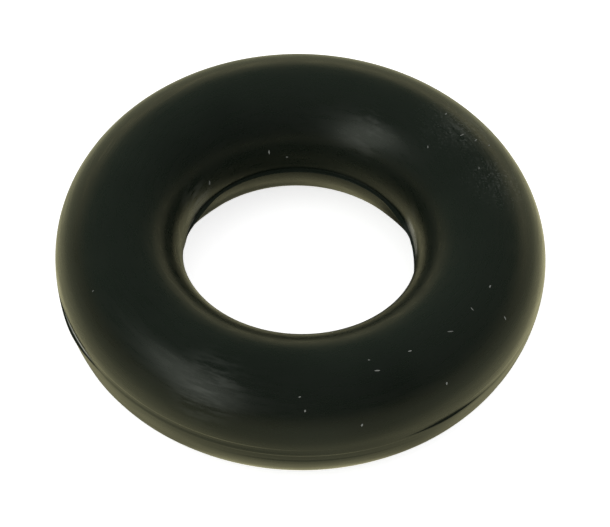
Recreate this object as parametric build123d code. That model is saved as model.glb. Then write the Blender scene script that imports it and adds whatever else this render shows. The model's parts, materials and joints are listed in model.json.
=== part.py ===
from build123d import *
import os

# A small moulded rubber sealing ring, lying flat. Millimetres, +Z up.
# The origin is the centre of the ring, in the plane where the two halves of its mould met.

# Driving dimensions, measured over the parting flash
bore_diameter = 4.5
cord_width = 2.5

# The flash is the thin band of rubber that the mould's joint leaves round the ring's waist
flash_proud = 0.015
flash_height = 0.14

# Sizes that follow from them
cord_centre_radius = (bore_diameter + cord_width) / 2
cord_radius = cord_width / 2 - flash_proud


def ring_section():
    """The cut face of the ring: a round cord with the flash band standing just out of both sides."""
    round_cord = Circle(cord_radius)
    flash_band = Rectangle(cord_width, flash_height)
    return Plane.XZ * Pos(cord_centre_radius, 0) * (round_cord + flash_band)


def o_ring():
    """The whole ring, swept once round the bore's axis as one solid."""
    return revolve(ring_section(), axis=Axis.Z)


os.makedirs("parts", exist_ok=True)
export_step(o_ring(), "parts/o_ring.step")
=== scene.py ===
import json
import math
import random
from collections import namedtuple

import bpy
from mathutils import Matrix, Vector
from mathutils.bvhtree import BVHTree


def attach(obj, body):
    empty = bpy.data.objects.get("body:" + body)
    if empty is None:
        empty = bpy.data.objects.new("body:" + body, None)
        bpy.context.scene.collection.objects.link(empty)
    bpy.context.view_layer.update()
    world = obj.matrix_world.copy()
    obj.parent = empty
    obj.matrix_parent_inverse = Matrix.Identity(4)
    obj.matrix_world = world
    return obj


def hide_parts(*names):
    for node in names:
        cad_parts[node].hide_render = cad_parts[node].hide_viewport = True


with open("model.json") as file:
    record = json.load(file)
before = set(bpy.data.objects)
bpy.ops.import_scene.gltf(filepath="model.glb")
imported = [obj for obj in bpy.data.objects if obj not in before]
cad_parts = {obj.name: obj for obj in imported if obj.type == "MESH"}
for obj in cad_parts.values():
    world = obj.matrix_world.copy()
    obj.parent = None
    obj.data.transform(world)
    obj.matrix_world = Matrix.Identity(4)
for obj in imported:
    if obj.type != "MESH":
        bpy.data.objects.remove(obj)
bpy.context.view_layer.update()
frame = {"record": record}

# Sizes are in metres, in the frame's own axes: +Z up, origin at the ring's centre
MM = 0.001

# The ring's own sizes. Its two mounts are measured over the flash.
FLASH_PROUD = 0.015 * MM
mounts = {mount["name"]: mount for mount in frame["record"]["mounts"]}
bore_radius = mounts["bore"]["dims"]["r_mm"] * MM
outside_radius = mounts["outside"]["dims"]["r_mm"] * MM
centre_radius = (bore_radius + outside_radius) / 2
cord_radius = (outside_radius - bore_radius) / 2 - FLASH_PROUD

# The picture's frame, in pixels, and where the ring's centre falls in it
PICTURE_WIDTH = 610
PICTURE_HEIGHT = 527
RING_CENTRE_PIXEL = (299.5, 258.8)
PIXELS_PER_CENTRE_RADIUS = 180.7

# The camera looks down on the ring from the front, turned a little about its own axis
CAMERA_AZIMUTH = math.radians(-90)
CAMERA_ELEVATION = math.radians(51.35)
CAMERA_ROLL = math.radians(1.47)
CAMERA_DISTANCE = 150 * MM
SENSOR_WIDTH = 36
CLIP_START = 10 * MM
CLIP_END = 10

# The moulding: its two halves met a little off register
REGISTER_ERROR = 0.1425 * MM
REGISTER_AZIMUTH = math.radians(263)

# The step between the halves is part crisp ledge and part worn slope
OUTER_PARTING_HEIGHT = -0.09 * MM
INNER_PARTING_HEIGHT = -0.03 * MM
LEDGE_HEIGHT = 0.015 * MM
OUTER_WORN_BAND = (-0.78 * MM, 0.07 * MM)
INNER_WORN_BAND = (-0.35 * MM, 0.52 * MM)
INNER_WORN_SHARE = 0.45

# A stretch of the ring: its middle and its reach each way, in degrees, and its share of the full effect
Stretch = namedtuple("Stretch", "middle reach share")

# The outer step is all slope but for these stretches
OUTER_CRISP_STRETCHES = (Stretch(203, 15, 0.45), Stretch(308, 13, 0.3))

# A thin fin of flash is left along a few stretches, with the lower half cut back under it
BORE_FINS = (Stretch(5, 22, 0.4), Stretch(30, 17, 0.85), Stretch(150, 18, 1.0))
OUTSIDE_FINS = (Stretch(205, 14, 0.45),)
FIN_REACH = 0.045 * MM
FIN_THICKNESS = 0.035 * MM
FIN_CUT_BACK = 0.07 * MM
CUT_BACK_BAND = (-0.95 * MM, -0.35 * MM)

# Shallow grooves left by the trimmed flash round the outer waist: the heights of their two edges, the height
# that the low edge takes up, their depth, and their middle and reach as in a stretch. The high edge is always
# crisp.
Groove = namedtuple("Groove", "low high low_edge depth middle reach")
GROOVES = (
    Groove(-0.09 * MM, 0.02 * MM, 0.085 * MM, 0.009 * MM, 238, 50),
    Groove(-0.28 * MM, -0.14 * MM, 0.035 * MM, 0.006 * MM, 276, 36),
    Groove(-0.10 * MM, 0.01 * MM, 0.085 * MM, 0.008 * MM, 322, 32),
)
GROOVE_HIGH_EDGE = 0.03 * MM

# The cord is a little wider than it is high, and widest on the right
CORD_WIDENING = 0.012
CORD_SWELL = 0.008
SWELL_AZIMUTH = math.radians(-20)

# How finely the ring is meshed: round it, over the cord and under it, and through each parting band
AZIMUTH_STEPS = 460
UPPER_STEPS = 40
LOWER_STEPS = 28
PARTING_STEPS = 72
PARTING_REACH = 0.29 * MM
PARTING_CROWDING = 1.8


def smooth_step(value):
    """0 below 0, 1 above 1, and a smooth rise between."""
    t = min(max(value, 0.0), 1.0)
    return t * t * (3 - 2 * t)


def above(height, edge, width):
    """0 below an edge and 1 above it, with a smooth change of this width centred on it."""
    return smooth_step((height - edge) / width + 0.5)


def below(height, edge, width):
    """1 below an edge and 0 above it, with a smooth change of this width centred on it."""
    return smooth_step((edge - height) / width + 0.5)


def direction(azimuth, elevation=0.0):
    """A unit vector. Azimuth is measured from +X towards +Y."""
    level = math.cos(elevation)
    return Vector((level * math.cos(azimuth), level * math.sin(azimuth), math.sin(elevation)))


def facing(way):
    """A turn that points +Z this way."""
    return way.to_track_quat("Z", "Y").to_matrix().to_4x4()


def nearness(azimuth, middle, reach):
    """1 at the middle of a stretch of the ring, falling smoothly to 0 at its reach. Both are in degrees."""
    apart = math.degrees(azimuth) - middle
    apart = abs((apart + 180) % 360 - 180)
    return smooth_step(1 - apart / reach)


def strongest(azimuth, stretches):
    """The largest share that any of these stretches has at an azimuth."""
    return max(stretch.share * nearness(azimuth, stretch.middle, stretch.reach) for stretch in stretches)


def parting_height(outer):
    """The height of the ledge between the halves, on the outer or the inner side."""
    return OUTER_PARTING_HEIGHT if outer else INNER_PARTING_HEIGHT


def worn_share(azimuth, outer):
    """How much of the step between the halves has been worn to a slope, at a place round the ring."""
    return 1 - strongest(azimuth, OUTER_CRISP_STRETCHES) if outer else INNER_WORN_SHARE


def lower_share(azimuth, height, outer):
    """0 on the upper half of the moulding, 1 on the lower, and the step between them."""
    worn = worn_share(azimuth, outer)
    low, high = OUTER_WORN_BAND if outer else INNER_WORN_BAND
    slope = smooth_step((high - height) / (high - low))
    ledge = below(height, parting_height(outer), LEDGE_HEIGHT)
    return worn * slope + (1 - worn) * ledge


def groove_depth(azimuth, height):
    """How deep the trimmed flash has left the outer waist."""
    total = 0.0
    for groove in GROOVES:
        above_low = above(height, groove.low, groove.low_edge)
        below_high = below(height, groove.high, GROOVE_HIGH_EDGE)
        total += groove.depth * nearness(azimuth, groove.middle, groove.reach) * above_low * below_high
    return total


def fin_reach(azimuth, height, outer):
    """How far a fin stands out from its wall. Below the fin this is negative, where the wall is cut back."""
    share = strongest(azimuth, OUTSIDE_FINS if outer else BORE_FINS)
    under_edge = below(height, parting_height(outer), LEDGE_HEIGHT)
    under_fin = below(height, parting_height(outer) - FIN_THICKNESS, LEDGE_HEIGHT)
    low, high = CUT_BACK_BAND
    above_underside = smooth_step((height - low) / (high - low))
    stands_out = (under_edge - under_fin) * FIN_REACH
    return share * (stands_out - under_fin * above_underside * FIN_CUT_BACK)


def ring_point(azimuth, angle):
    """The surface at an azimuth round the ring and an angle round the cord, 0 at the outer waist."""
    height = cord_radius * math.sin(angle)
    widening = 1 + CORD_WIDENING + CORD_SWELL * math.cos(azimuth - SWELL_AZIMUTH)
    half_width = cord_radius * math.cos(angle) * widening
    outer = half_width > 0
    if outer:
        half_width += fin_reach(azimuth, height, outer) - groove_depth(azimuth, height)
    else:
        half_width -= fin_reach(azimuth, height, outer)
    on_axis = direction(azimuth) * (centre_radius + half_width) + Vector((0, 0, height))
    out_of_register = REGISTER_ERROR * (lower_share(azimuth, height, outer) - 0.5)
    return on_axis + direction(REGISTER_AZIMUTH) * out_of_register


def parting_angles(middle_height):
    """Angles rising through a parting band on the outer side, crowded towards the ledge at its middle."""
    angles = []
    for i in range(PARTING_STEPS):
        along = 2 * i / PARTING_STEPS - 1
        offset = math.copysign(abs(along) ** PARTING_CROWDING, along) * PARTING_REACH
        angles.append(math.asin((middle_height + offset) / cord_radius))
    return angles


def evenly_between(start, end, count):
    """Evenly spaced angles, one less than the count, with neither the start nor the end among them."""
    return [start + (end - start) * i / count for i in range(1, count)]


def section_angles():
    """Angles round the cord, once about, close together where they cross the two parting bands."""
    outer = parting_angles(OUTER_PARTING_HEIGHT)
    inner = [math.pi - angle for angle in reversed(parting_angles(INNER_PARTING_HEIGHT))]
    upper = evenly_between(outer[-1], inner[0], UPPER_STEPS)
    lower = evenly_between(inner[-1], outer[0] + 2 * math.pi, LOWER_STEPS)
    return outer + upper + inner + lower


def add_object(name, data):
    """An object of this data, linked into the scene."""
    made = bpy.data.objects.new(name, data)
    bpy.context.scene.collection.objects.link(made)
    return made


def add_smooth_mesh(name, points, faces):
    """An object with a smooth-shaded mesh of these points and faces."""
    mesh = bpy.data.meshes.new(name)
    mesh.from_pydata(points, [], faces)
    mesh.shade_smooth()
    return add_object(name, mesh)


def wrapped_faces(rows, columns):
    """Quads between points laid out in rows, joined up both ways."""
    faces = []
    for row in range(rows):
        next_row = (row + 1) % rows
        for column in range(columns):
            next_column = (column + 1) % columns
            faces.append((
                row * columns + column,
                next_row * columns + column,
                next_row * columns + next_column,
                row * columns + next_column,
            ))
    return faces


def make_ring():
    """The ring, as it was moulded."""
    angles = section_angles()
    azimuths = [2 * math.pi * i / AZIMUTH_STEPS for i in range(AZIMUTH_STEPS)]
    points = [ring_point(azimuth, angle) for azimuth in azimuths for angle in angles]
    ring = add_smooth_mesh("ring", points, wrapped_faces(AZIMUTH_STEPS, len(angles)))
    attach(ring, "root")
    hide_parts("o_ring")
    return ring


class Nodes:
    """A node tree being filled in: each call adds one node, links its inputs and gives its output."""

    def __init__(self, tree):
        self.tree = tree
        tree.nodes.clear()

    def feed(self, socket, value):
        """Links an output into a socket, or sets the socket."""
        if isinstance(value, bpy.types.NodeSocket):
            self.tree.links.new(value, socket)
        else:
            socket.default_value = value

    def add(self, kind, result, settings=None, **inputs):
        """A node of a kind. Inputs are numbers, colours or other nodes' outputs, by their names."""
        node = self.tree.nodes.new(kind)
        for name, value in (settings or {}).items():
            setattr(node, name, value)
        for name, value in inputs.items():
            self.feed(node.inputs[name.replace("_", " ")], value)
        return node.outputs[result]

    def maths(self, operation, first, second=0.0):
        """One sum on numbers."""
        node = self.tree.nodes.new("ShaderNodeMath")
        node.operation = operation
        self.feed(node.inputs[0], first)
        self.feed(node.inputs[1], second)
        return node.outputs["Value"]

    def plus(self, first, second):
        return self.maths("ADD", first, second)

    def minus(self, first, second):
        return self.maths("SUBTRACT", first, second)

    def times(self, first, second):
        return self.maths("MULTIPLY", first, second)

    def larger(self, first, second):
        return self.maths("MAXIMUM", first, second)

    def size(self, value):
        return self.maths("ABSOLUTE", value)

    def vector(self, operation, result, first, second=None, scale=None):
        """One sum on vectors."""
        node = self.tree.nodes.new("ShaderNodeVectorMath")
        node.operation = operation
        self.feed(node.inputs[0], first)
        if second is not None:
            self.feed(node.inputs[1], second)
        if scale is not None:
            self.feed(node.inputs["Scale"], scale)
        return node.outputs[result]

    def position(self):
        """The place on the object, in metres."""
        return self.add("ShaderNodeTexCoord", "Object")

    def level_part(self, place):
        """A place with its height taken as 0."""
        return self.vector("MULTIPLY", "Vector", place, (1, 1, 0))

    def length(self, place):
        return self.vector("LENGTH", "Value", place)

    def distance(self, place, point):
        return self.vector("DISTANCE", "Value", place, tuple(point))

    def along(self, place, way):
        """How far a place lies this way from the origin."""
        return self.vector("DOT_PRODUCT", "Value", place, tuple(way))

    def noise(self, place, scale, detail):
        return self.add("ShaderNodeTexNoise", "Fac", Vector=place, Scale=scale, Detail=detail)

    def ramp(self, value, low, high, start=0.0, end=1.0):
        """A smooth change from start, where the value is low or less, to end, where it is high or more."""
        settings = {"interpolation_type": "SMOOTHSTEP"}
        return self.add(
            "ShaderNodeMapRange", "Result", settings,
            Value=value, From_Min=low, From_Max=high, To_Min=start, To_Max=end,
        )

    def mix(self, factor, first, second):
        """One colour turning into another."""
        node = self.tree.nodes.new("ShaderNodeMix")
        node.data_type = "RGBA"
        self.feed(node.inputs["Factor"], factor)
        self.feed(node.inputs["A"], first)
        self.feed(node.inputs["B"], second)
        return node.outputs["Result"]


def new_material(name):
    """An empty node material, with its nodes and its surface socket."""
    material = bpy.data.materials.new(name)
    material.use_nodes = True
    nodes = Nodes(material.node_tree)
    output = material.node_tree.nodes.new("ShaderNodeOutputMaterial")
    return material, nodes, output.inputs["Surface"]


# The rubber's own colour, and those of the wiped film, the settled dust and the scuffs on it. The film and
# scuff colours also serve as painted highlights in places.
RUBBER_COLOUR = (0.0048, 0.0078, 0.0047, 1)
RUBBER_COLOUR_WORN = (0.0075, 0.0112, 0.0072, 1)
FILM_AND_HIGHLIGHT_COLOUR = (0.045, 0.050, 0.042, 1)
DUST_COLOUR = (0.30, 0.31, 0.29, 1)
SCUFF_AND_GLINT_COLOUR = (0.50, 0.50, 0.43, 1)
RUBBER_IOR = 1.5
ROUGHNESS_RANGE = (0.25, 0.35)

# Wipe marks are long round the ring and short across the cord
STREAKS_AROUND = 6.5
STREAKS_ACROSS = 13.0
STREAK_DETAIL = 5.0
STREAK_ROUGHNESS = 0.62
STREAK_RELIEF = 0.004 * MM
STREAK_RELIEF_STRENGTH = 0.16

# The rubber is uneven on a broad scale, and has a fine grain, which shows more where dust lies
BROAD_SCALE = 420.0
BROAD_DETAIL = 3.0
GRAIN_SCALE = 26000.0
GRAIN_DETAIL = 2.0
GRAIN_RELIEF = 0.002 * MM
GRAIN_RELIEF_CLEAN = 0.08
GRAIN_RELIEF_DUSTY = 0.5

# The values of the noises between which each effect comes in, and how far it goes
WORN_SPAN = (0.35, 0.7)
FILM_AND_HIGHLIGHT_SPAN = (0.44, 0.64)
FILM_AND_HIGHLIGHT_STRENGTH = 0.75
GRIT_SPAN = (0.5, 0.72)
GRIT_STRENGTH = 0.16
SCUFF_AND_GLINT_SPAN = (0.3, 0.6)
SCUFF_AND_GLINT_LEAST = 0.45
ROUGHNESS_SPAN = (0.35, 0.65)

# Where the film and the fine dust lie: a pixel of the picture, and a reach on the ring. All the film patches
# but the last also paint highlights.
Patch = namedtuple("Patch", "pixel reach")
FILM_AND_HIGHLIGHT_PATCHES = (
    Patch((205, 388), 1.0 * MM),
    Patch((368, 134), 0.62 * MM),
    Patch((194, 200), 0.55 * MM),
    Patch((411, 226), 0.5 * MM),
    Patch((472, 128), 0.8 * MM),
)
DUST_PATCHES = (
    Patch((470, 125), 1.3 * MM),
    Patch((505, 180), 1.1 * MM),
)

# Edges and walls scuffed pale by handling, in part painted highlights along edges and walls: a pixel and a
# reach, the two heights that the paling lies between, and its share of the full pale colour
ScuffAndGlint = namedtuple("ScuffAndGlint", "pixel reach low high share")
SCUFFS_AND_GLINTS = (
    ScuffAndGlint((76, 336), 0.75 * MM, -0.080 * MM, -0.052 * MM, 1.0),
    ScuffAndGlint((187, 214), 0.5 * MM, -0.015 * MM, 0.015 * MM, 0.9),
    ScuffAndGlint((195, 200), 0.6 * MM, 0.05 * MM, 0.25 * MM, 0.09),
    ScuffAndGlint((414, 240), 0.6 * MM, 0.03 * MM, 0.20 * MM, 0.5),
)

# Each scuff and painted highlight fades in below its low edge and out above its high one, over these
# shares of its height, and is at its full share out to this part of its reach
SCUFF_AND_GLINT_LOW_FADE = 0.3
SCUFF_AND_GLINT_HIGH_FADE = 0.5
SCUFF_AND_GLINT_FULL_REACH = 0.4


def streaks(nodes):
    """Noise drawn out along the ring, about 0.5 on average, in coordinates that run round it with no seam."""
    place = nodes.position()
    level = nodes.level_part(place)
    across = STREAKS_ACROSS / cord_radius
    from_middle = nodes.times(nodes.minus(nodes.length(level), centre_radius), across)
    lift = nodes.along(place, (0, 0, across))
    outward = nodes.vector("NORMALIZE", "Vector", level)
    around = nodes.vector("SCALE", "Vector", outward, scale=STREAKS_AROUND)
    upright = nodes.add("ShaderNodeCombineXYZ", "Vector", Z=from_middle)
    vector = nodes.vector("ADD", "Vector", around, upright)
    settings = {"noise_dimensions": "4D"}
    return nodes.add(
        "ShaderNodeTexNoise", "Fac", settings,
        Vector=vector, W=lift, Scale=1.0, Detail=STREAK_DETAIL, Roughness=STREAK_ROUGHNESS,
    )


def near_patches(nodes, picture, patches):
    """1 at the middle of each patch, falling to 0 at its reach."""
    position = nodes.position()
    total = 0.0
    for patch in patches:
        apart = nodes.distance(position, picture.point(patch.pixel))
        total = nodes.larger(total, nodes.ramp(apart, 0.0, patch.reach, 1.0, 0.0))
    return total


def scuffs_and_glints(nodes, picture):
    """How pale each scuff and painted highlight makes the rubber, near its middle and between its two
    heights.
    """
    position = nodes.position()
    height = nodes.along(position, (0, 0, 1))
    total = 0.0
    for pale_mark in SCUFFS_AND_GLINTS:
        band_height = pale_mark.high - pale_mark.low
        above_low = nodes.ramp(height, pale_mark.low - SCUFF_AND_GLINT_LOW_FADE * band_height, pale_mark.low)
        below_high = nodes.ramp(height, pale_mark.high, pale_mark.high + SCUFF_AND_GLINT_HIGH_FADE * band_height, 1.0, 0.0)
        apart = nodes.distance(position, picture.point(pale_mark.pixel))
        here = nodes.ramp(apart, SCUFF_AND_GLINT_FULL_REACH * pale_mark.reach, pale_mark.reach, pale_mark.share, 0.0)
        total = nodes.larger(total, nodes.times(nodes.times(above_low, below_high), here))
    return total


def rubber_colour(nodes, picture, wipes, grain, dust_here):
    """Black with a green cast, greyed by the film, the fine dust and the scuffs, with painted highlights in
    the film and scuff colours.
    """
    broad = nodes.noise(nodes.position(), BROAD_SCALE, BROAD_DETAIL)
    plain = nodes.mix(nodes.ramp(broad, *WORN_SPAN), RUBBER_COLOUR, RUBBER_COLOUR_WORN)
    # Film, which is partly a painted highlight where its patches sit on highlights
    film_and_highlight = nodes.times(near_patches(nodes, picture, FILM_AND_HIGHLIGHT_PATCHES), nodes.ramp(wipes, *FILM_AND_HIGHLIGHT_SPAN))
    filmed_and_highlighted = nodes.mix(nodes.times(film_and_highlight, FILM_AND_HIGHLIGHT_STRENGTH), plain, FILM_AND_HIGHLIGHT_COLOUR)
    grit = nodes.times(nodes.ramp(grain, *GRIT_SPAN), GRIT_STRENGTH)
    dusty = nodes.mix(nodes.times(dust_here, grit), filmed_and_highlighted, DUST_COLOUR)
    # Scuffs, which are partly painted highlights on edges and walls, streaked by the wipe noise
    streaky = nodes.ramp(wipes, *SCUFF_AND_GLINT_SPAN, SCUFF_AND_GLINT_LEAST, 1.0)
    return nodes.mix(nodes.times(scuffs_and_glints(nodes, picture), streaky), dusty, SCUFF_AND_GLINT_COLOUR)


def rubber_relief(nodes, wipes, grain, dust_here):
    """The bump of the wipe marks, with the grain over it."""
    wiped = nodes.add(
        "ShaderNodeBump", "Normal",
        Strength=STREAK_RELIEF_STRENGTH, Distance=STREAK_RELIEF, Height=wipes,
    )
    gritty = nodes.plus(nodes.times(dust_here, GRAIN_RELIEF_DUSTY), GRAIN_RELIEF_CLEAN)
    return nodes.add(
        "ShaderNodeBump", "Normal",
        Strength=gritty, Distance=GRAIN_RELIEF, Height=grain, Normal=wiped,
    )


def rubber_material(picture):
    """Moulded rubber, with the marks on it where the picture shows them, some of them painted highlights."""
    material, nodes, surface = new_material("moulded rubber")
    wipes = streaks(nodes)
    grain = nodes.noise(nodes.position(), GRAIN_SCALE, GRAIN_DETAIL)
    dust_here = near_patches(nodes, picture, DUST_PATCHES)
    shader = nodes.add(
        "ShaderNodeBsdfPrincipled", "BSDF",
        Base_Color=rubber_colour(nodes, picture, wipes, grain, dust_here),
        Roughness=nodes.ramp(wipes, *ROUGHNESS_SPAN, *ROUGHNESS_RANGE),
        IOR=RUBBER_IOR,
        Normal=rubber_relief(nodes, wipes, grain, dust_here),
    )
    nodes.feed(surface, shader)
    return material


# The light: a long soft lamp at the front left, and an even light from all round
LAMP_AZIMUTH = math.radians(221)
LAMP_ELEVATION = math.radians(38)
LAMP_TILT = math.radians(38)
LAMP_DISTANCE = 120 * MM
LAMP_LENGTH = 130 * MM
LAMP_WIDTH = 62 * MM
LAMP_RADIANCE = 1.02
LAMP_COLOUR = (0.95, 1.0, 0.87)
ROOM_LEVEL = 0.88

# What the gloss reflects of the room: its level on average, how much brighter it is towards one side, that
# side, its least level, and its tint. The horizon is bright at the back, and it is dim overhead.
RoomLight = namedtuple("RoomLight", "level lean side least tint")
HORIZON = RoomLight(-0.06, 0.84, math.radians(82), 0.24, (1.08, 1.02, 0.62))
OVERHEAD = RoomLight(0.086, 0.09, math.radians(125), 0.0, (0.86, 1.14, 0.88))
HORIZON_TO = math.radians(7)
OVERHEAD_FROM = math.radians(23)


def make_lamp():
    """A long soft lamp, as bright over its face as LAMP_RADIANCE."""
    data = bpy.data.lights.new("soft_lamp", "AREA")
    data.shape = "ELLIPSE"
    data.size = LAMP_LENGTH
    data.size_y = LAMP_WIDTH
    face_area = math.pi * LAMP_LENGTH * LAMP_WIDTH / 4
    data.energy = LAMP_RADIANCE * math.pi * face_area
    data.color = LAMP_COLOUR
    lamp = add_object("soft_lamp", data)
    towards = direction(LAMP_AZIMUTH, LAMP_ELEVATION)
    tilted = Matrix.Rotation(math.pi / 2 + LAMP_TILT, 4, "Z")
    lamp.matrix_world = Matrix.Translation(towards * LAMP_DISTANCE) @ facing(towards) @ tilted


def room_light(nodes, place, light):
    """The colour of one light of the room, brighter towards its side and nowhere below its least level."""
    lean = nodes.times(nodes.along(place, direction(light.side)), light.lean)
    level = nodes.larger(nodes.plus(lean, light.level), light.least)
    return nodes.vector("SCALE", "Vector", light.tint, scale=level)


def make_world():
    """An even light, with a white ground for the camera and a room's light and dark for reflections."""
    world = bpy.data.worlds.new("room")
    bpy.context.scene.world = world
    world.use_nodes = True
    nodes = Nodes(world.node_tree)
    output = world.node_tree.nodes.new("ShaderNodeOutputWorld")
    place = nodes.add("ShaderNodeTexCoord", "Generated")
    above_horizon = nodes.ramp(nodes.along(place, (0, 0, 1)), math.sin(HORIZON_TO), math.sin(OVERHEAD_FROM))
    room = nodes.mix(above_horizon, room_light(nodes, place, HORIZON), room_light(nodes, place, OVERHEAD))
    light_path = world.node_tree.nodes.new("ShaderNodeLightPath")
    even = (ROOM_LEVEL, ROOM_LEVEL, ROOM_LEVEL, 1)
    unseen = nodes.mix(light_path.outputs["Is Glossy Ray"], even, room)
    colour = nodes.mix(light_path.outputs["Is Camera Ray"], unseen, (1, 1, 1, 1))
    nodes.feed(output.inputs["Surface"], nodes.add("ShaderNodeBackground", "Background", Color=colour))


# The ground is white. The camera sees it lifted nearly to the white round it, with the ring's shadow kept.
FLOOR_SIZE = 600 * MM
GROUND_COLOUR = (0.85, 0.85, 0.85, 1)
GROUND_LIFT = 0.72

# The gloss sees the ground dim and warm, and nearly black where the ring shades it
GROUND_REFLECTED = (0.42, 0.42, 0.27, 1)
GROUND_SHADED = (0.025, 0.028, 0.02, 1)

# It also sees the ground glow outside the ring, in an oval that is drawn out one way: a near glow next to
# the ring, and a broad one that fades out further off. At the front the broad one drops to a small share.
GLOW_COLOUR = (1.0, 0.93, 0.53, 1)
GLOW_CENTRE = (0.4 * MM, 0.3 * MM, 0)
GLOW_LONG_WAY = math.radians(28)
GLOW_STRETCH = 0.2
NEAR_GLOW_LEVEL = 0.54
NEAR_GLOW_FROM = 4.4 * MM
NEAR_GLOW_TO = 5.35 * MM
BROAD_GLOW_LEVEL = 0.40
BROAD_GLOW_FROM = 5.8 * MM
BROAD_GLOW_TO = 9.8 * MM
BROAD_GLOW_FRONT = -7.2 * MM
BROAD_GLOW_BACK = -5.0 * MM
BROAD_GLOW_LEAST = 0.2

# The bore's floor glows towards its rim, on its lit side, and the glow stops short of where the ring stands.
# The other side lies in the ring's own shade, which starts to give way at BORE_SHADE_FROM, measured towards
# the lit side, and is gone at BORE_SHADE_TO.
BORE_GLOW_LEVEL = 0.68
BORE_GLOW_CENTRE = (-0.2 * MM, -0.2 * MM, 0)
BORE_GLOW_FROM = 0.2 * MM
BORE_GLOW_TO = 3.0 * MM
CONTACT_CENTRE = (0.5 * MM, 0, 0)
CONTACT_FROM = 2.1 * MM
CONTACT_TO = 2.6 * MM
LIT_SIDE = math.radians(142)
BORE_SHADE_FROM = -0.4 * MM
BORE_SHADE_TO = 1.0 * MM

# Close under the ring's outer overhang the ground is shaded, but for the middle of the front and of the back
OVERHANG_SHADE = 0.62
OVERHANG_FROM = 4.6 * MM
OVERHANG_TO = 5.3 * MM
SIDEWAYS_FROM = 1.0 * MM
SIDEWAYS_TO = 2.5 * MM


def outer_glow(nodes, place):
    """The glow round the ring."""
    from_centre = nodes.vector("SUBTRACT", "Vector", place, GLOW_CENTRE)
    long_way = nodes.size(nodes.along(from_centre, direction(GLOW_LONG_WAY)))
    apart = nodes.minus(nodes.length(from_centre), nodes.times(long_way, GLOW_STRETCH))
    near = nodes.ramp(apart, NEAR_GLOW_FROM, NEAR_GLOW_TO, NEAR_GLOW_LEVEL, 0.0)
    broad = nodes.ramp(apart, BROAD_GLOW_FROM, BROAD_GLOW_TO, BROAD_GLOW_LEVEL, 0.0)
    back = nodes.along(place, (0, 1, 0))
    clear_of_front = nodes.ramp(back, BROAD_GLOW_FRONT, BROAD_GLOW_BACK, BROAD_GLOW_LEAST, 1.0)
    return nodes.plus(near, nodes.times(broad, clear_of_front))


def bore_glow(nodes, place, lit):
    """The glow on the bore's floor."""
    towards_rim = nodes.ramp(nodes.distance(place, BORE_GLOW_CENTRE), BORE_GLOW_FROM, BORE_GLOW_TO)
    clear_of_ring = nodes.ramp(nodes.distance(place, CONTACT_CENTRE), CONTACT_FROM, CONTACT_TO, 1.0, 0.0)
    return nodes.times(nodes.times(nodes.times(towards_rim, clear_of_ring), lit), BORE_GLOW_LEVEL)


def overhang_shade(nodes, place):
    """The shade close under the ring's overhang."""
    sideways = nodes.size(nodes.along(place, (1, 0, 0)))
    off_middle = nodes.ramp(sideways, SIDEWAYS_FROM, SIDEWAYS_TO, 0.0, OVERHANG_SHADE)
    close = nodes.ramp(nodes.length(place), OVERHANG_FROM, OVERHANG_TO, 1.0, 0.0)
    return nodes.times(close, off_middle)


def ground_light(nodes):
    """How bright the gloss sees the ground glow, and how much of it is shaded, from place to place."""
    place = nodes.level_part(nodes.position())
    past_bore = nodes.ramp(nodes.length(place), bore_radius, centre_radius)
    lit = nodes.ramp(nodes.along(place, direction(LIT_SIDE)), BORE_SHADE_FROM, BORE_SHADE_TO)
    overhung = overhang_shade(nodes, place)
    outside = nodes.times(nodes.times(outer_glow(nodes, place), past_bore), nodes.minus(1.0, overhung))
    glow = nodes.plus(outside, bore_glow(nodes, place, lit))
    bore_shade = nodes.times(nodes.minus(1.0, lit), nodes.minus(1.0, past_bore))
    return glow, nodes.larger(bore_shade, nodes.times(overhung, past_bore))


def floor_material():
    """White, and warm where the rubber reflects it."""
    material, nodes, surface = new_material("white ground")
    light_path = material.node_tree.nodes.new("ShaderNodeLightPath")
    from_camera = light_path.outputs["Is Camera Ray"]
    from_gloss = light_path.outputs["Is Glossy Ray"]
    glow, shade = ground_light(nodes)
    reflected_colour = nodes.mix(shade, GROUND_REFLECTED, GROUND_SHADED)
    colour = nodes.mix(from_gloss, GROUND_COLOUR, reflected_colour)
    diffuse = nodes.add("ShaderNodeBsdfDiffuse", "BSDF", Color=colour)
    strength = nodes.plus(nodes.times(from_camera, GROUND_LIFT), nodes.times(from_gloss, glow))
    tint = nodes.mix(from_gloss, (1, 1, 1, 1), GLOW_COLOUR)
    emission = nodes.add("ShaderNodeEmission", "Emission", Color=tint, Strength=strength)
    both = material.node_tree.nodes.new("ShaderNodeAddShader")
    nodes.feed(both.inputs[0], diffuse)
    nodes.feed(both.inputs[1], emission)
    nodes.feed(surface, both.outputs["Shader"])
    return material


def make_floor():
    """A plain ground under the ring."""
    half = FLOOR_SIZE / 2
    corners = [(-half, -half), (half, -half), (half, half), (-half, half)]
    mesh = bpy.data.meshes.new("floor")
    mesh.from_pydata([(x, y, -cord_radius) for x, y in corners], [], [(0, 1, 2, 3)])
    floor = add_object("floor", mesh)
    floor.data.materials.append(floor_material())


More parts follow.
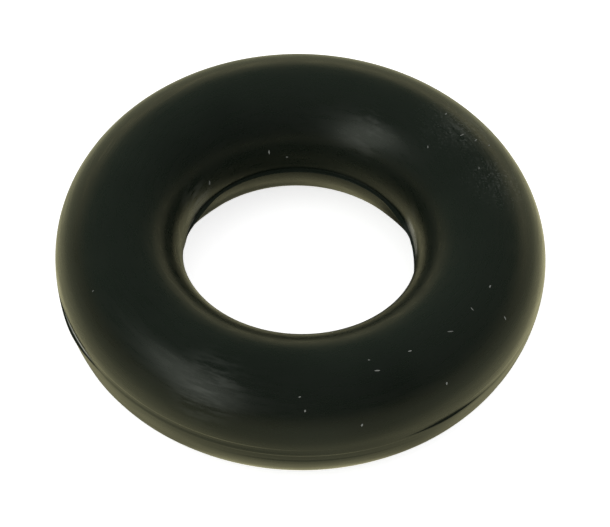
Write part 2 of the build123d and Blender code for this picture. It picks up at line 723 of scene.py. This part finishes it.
def make_camera():
    """The camera, with the ring's centre at its place in the picture."""
    data = bpy.data.cameras.new("camera")
    data.sensor_width = SENSOR_WIDTH
    focal_pixels = PIXELS_PER_CENTRE_RADIUS * CAMERA_DISTANCE / centre_radius
    data.lens = focal_pixels / PICTURE_WIDTH * SENSOR_WIDTH
    data.shift_x = (PICTURE_WIDTH / 2 - RING_CENTRE_PIXEL[0]) / PICTURE_WIDTH
    data.shift_y = (RING_CENTRE_PIXEL[1] - PICTURE_HEIGHT / 2) / PICTURE_WIDTH
    data.clip_start = CLIP_START
    data.clip_end = CLIP_END
    camera = add_object("camera", data)
    towards = direction(CAMERA_AZIMUTH, CAMERA_ELEVATION)
    turned = facing(towards) @ Matrix.Rotation(CAMERA_ROLL, 4, "Z")
    camera.matrix_world = Matrix.Translation(towards * CAMERA_DISTANCE) @ turned
    bpy.context.scene.camera = camera
    return camera


class Picture:
    """Finds the place on the ring that shows at a pixel of the picture."""

    def __init__(self, camera, mesh):
        self.camera = camera
        self.tree = BVHTree.FromPolygons([v.co for v in mesh.vertices], [p.vertices for p in mesh.polygons])

    def hit(self, pixel):
        """The point on the ring and its normal at a pixel."""
        x, y = pixel
        focal_pixels = self.camera.data.lens / SENSOR_WIDTH * PICTURE_WIDTH
        right = (x - RING_CENTRE_PIXEL[0]) / focal_pixels
        up = (RING_CENTRE_PIXEL[1] - y) / focal_pixels
        start = self.camera.matrix_world.translation
        ray = self.camera.matrix_world.to_3x3() @ Vector((right, up, -1))
        return self.tree.ray_cast(start, ray)[:2]

    def point(self, pixel):
        """The point on the ring at a pixel."""
        return self.hit(pixel)[0]


# The larger specks of dust and lint: a pixel, a length and a width in pixels, and a slant in degrees
Speck = namedtuple("Speck", "pixel length width slant")
SPECKS = (
    Speck((269.0, 152.0), 5.5, 2.2, 92),
    Speck((287.0, 157.0), 3.2, 2.0, 0),
    Speck((209.5, 183.0), 5.0, 2.0, 88),
    Speck((446.0, 114.0), 2.6, 1.8, 40),
    Speck((462.0, 135.0), 6.0, 1.4, 20),
    Speck((476.0, 140.0), 3.4, 1.2, 35),
    Speck((489.0, 145.5), 3.0, 1.2, 45),
    Speck((428.0, 147.0), 3.6, 1.1, 90),
    Speck((479.0, 168.0), 3.4, 1.1, 90),
    Speck((490.0, 286.5), 3.4, 2.0, 70),
    Speck((472.0, 309.0), 5.0, 1.2, 130),
    Speck((505.0, 318.0), 5.2, 1.7, 120),
    Speck((450.0, 331.5), 7.0, 1.2, 5),
    Speck((410.0, 351.0), 5.0, 1.6, 12),
    Speck((369.0, 360.0), 3.6, 1.3, 0),
    Speck((377.0, 370.6), 7.5, 1.8, 4),
    Speck((446.6, 383.4), 4.2, 2.4, 78),
    Speck((362.0, 425.0), 3.4, 2.4, 80),
    Speck((305.0, 411.0), 3.2, 2.6, 70),
    Speck((299.6, 397.0), 3.6, 1.5, 20),
    Speck((93.0, 291.0), 3.0, 1.2, 60),
)
PIXEL = centre_radius / PIXELS_PER_CENTRE_RADIUS
SPECK_SEED = 7
SPECK_SEGMENTS = 12
SPECK_RINGS = 8

# A speck is drawn a little smaller than it looks in the picture, flatter than it is wide, and a quarter sunk
SPECK_FINENESS = 0.75
SPECK_FLATNESS = 0.45
SPECK_LIFT = 0.5

# Lumps and hollows make it uneven: their number, how far they swell it, and how narrow they are
LUMP_COUNT = 5
LUMP_RANGE = (-0.25, 0.35)
LUMP_SHARPNESS = 3

LINT_DARK = (0.08, 0.085, 0.075, 1)
LINT_PALE = (0.26, 0.27, 0.25, 1)
LINT_ROUGHNESS = 0.85
LINT_GRAIN_SCALE = 30000.0
LINT_GRAIN_DETAIL = 2.0


def random_lump(random_numbers):
    """The way that a lump or hollow faces, and how far it swells the speck."""
    way = Vector([random_numbers.gauss(0, 1) for _ in range(3)]).normalized()
    return way, random_numbers.uniform(*LUMP_RANGE)


def speck_shape(random_numbers):
    """A lumpy round blob of about unit radius, as points and faces."""
    lumps = [random_lump(random_numbers) for _ in range(LUMP_COUNT)]
    points = []
    for ring in range(SPECK_RINGS + 1):
        polar = math.pi * ring / SPECK_RINGS
        for segment in range(SPECK_SEGMENTS):
            unit = direction(2 * math.pi * segment / SPECK_SEGMENTS, math.pi / 2 - polar)
            swell = 1 + sum(size * max(unit.dot(way), 0) ** LUMP_SHARPNESS for way, size in lumps)
            points.append(unit * swell)
    faces = []
    for ring in range(SPECK_RINGS):
        for segment in range(SPECK_SEGMENTS):
            beside = (segment + 1) % SPECK_SEGMENTS
            low = ring * SPECK_SEGMENTS
            high = low + SPECK_SEGMENTS
            faces.append((low + segment, high + segment, high + beside, low + beside))
    return points, faces


def speck_on_ring(picture, speck, random_numbers):
    """One speck lying on the rubber at its pixel, as points and faces."""
    centre, normal = picture.hit(speck.pixel)
    x, y = speck.pixel
    slant = math.radians(speck.slant)
    end = picture.point((x + math.cos(slant) * speck.length / 2, y - math.sin(slant) * speck.length / 2))
    along = end - centre
    along -= normal * along.dot(normal)
    half_length = along.length * SPECK_FINENESS
    along.normalize()
    across = normal.cross(along)
    half_width = speck.width / 2 * PIXEL * SPECK_FINENESS
    half_height = SPECK_FLATNESS * half_width
    shape, faces = speck_shape(random_numbers)
    points = []
    for point in shape:
        placed = along * point.x * half_length + across * point.y * half_width
        placed += normal * (point.z * half_height + SPECK_LIFT * half_height)
        points.append(centre + placed)
    return points, faces


def lint_material():
    """Pale lint and grit."""
    material, nodes, surface = new_material("dust")
    grain = nodes.noise(nodes.position(), LINT_GRAIN_SCALE, LINT_GRAIN_DETAIL)
    colour = nodes.mix(grain, LINT_DARK, LINT_PALE)
    shader = nodes.add("ShaderNodeBsdfPrincipled", "BSDF", Base_Color=colour, Roughness=LINT_ROUGHNESS)
    nodes.feed(surface, shader)
    return material


def make_dust(picture):
    """The larger specks, in one piece."""
    random_numbers = random.Random(SPECK_SEED)
    points = []
    faces = []
    for speck in SPECKS:
        speck_points, speck_faces = speck_on_ring(picture, speck, random_numbers)
        first = len(points)
        points += speck_points
        faces += [tuple(first + corner for corner in face) for face in speck_faces]
    dust = add_smooth_mesh("dust", points, faces)
    dust.data.materials.append(lint_material())
    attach(dust, "root")


bpy.context.scene.view_settings.view_transform = "Standard"
camera = make_camera()
make_lamp()
make_world()
make_floor()
ring = make_ring()
picture = Picture(camera, ring.data)
ring.data.materials.append(rubber_material(picture))
make_dust(picture)
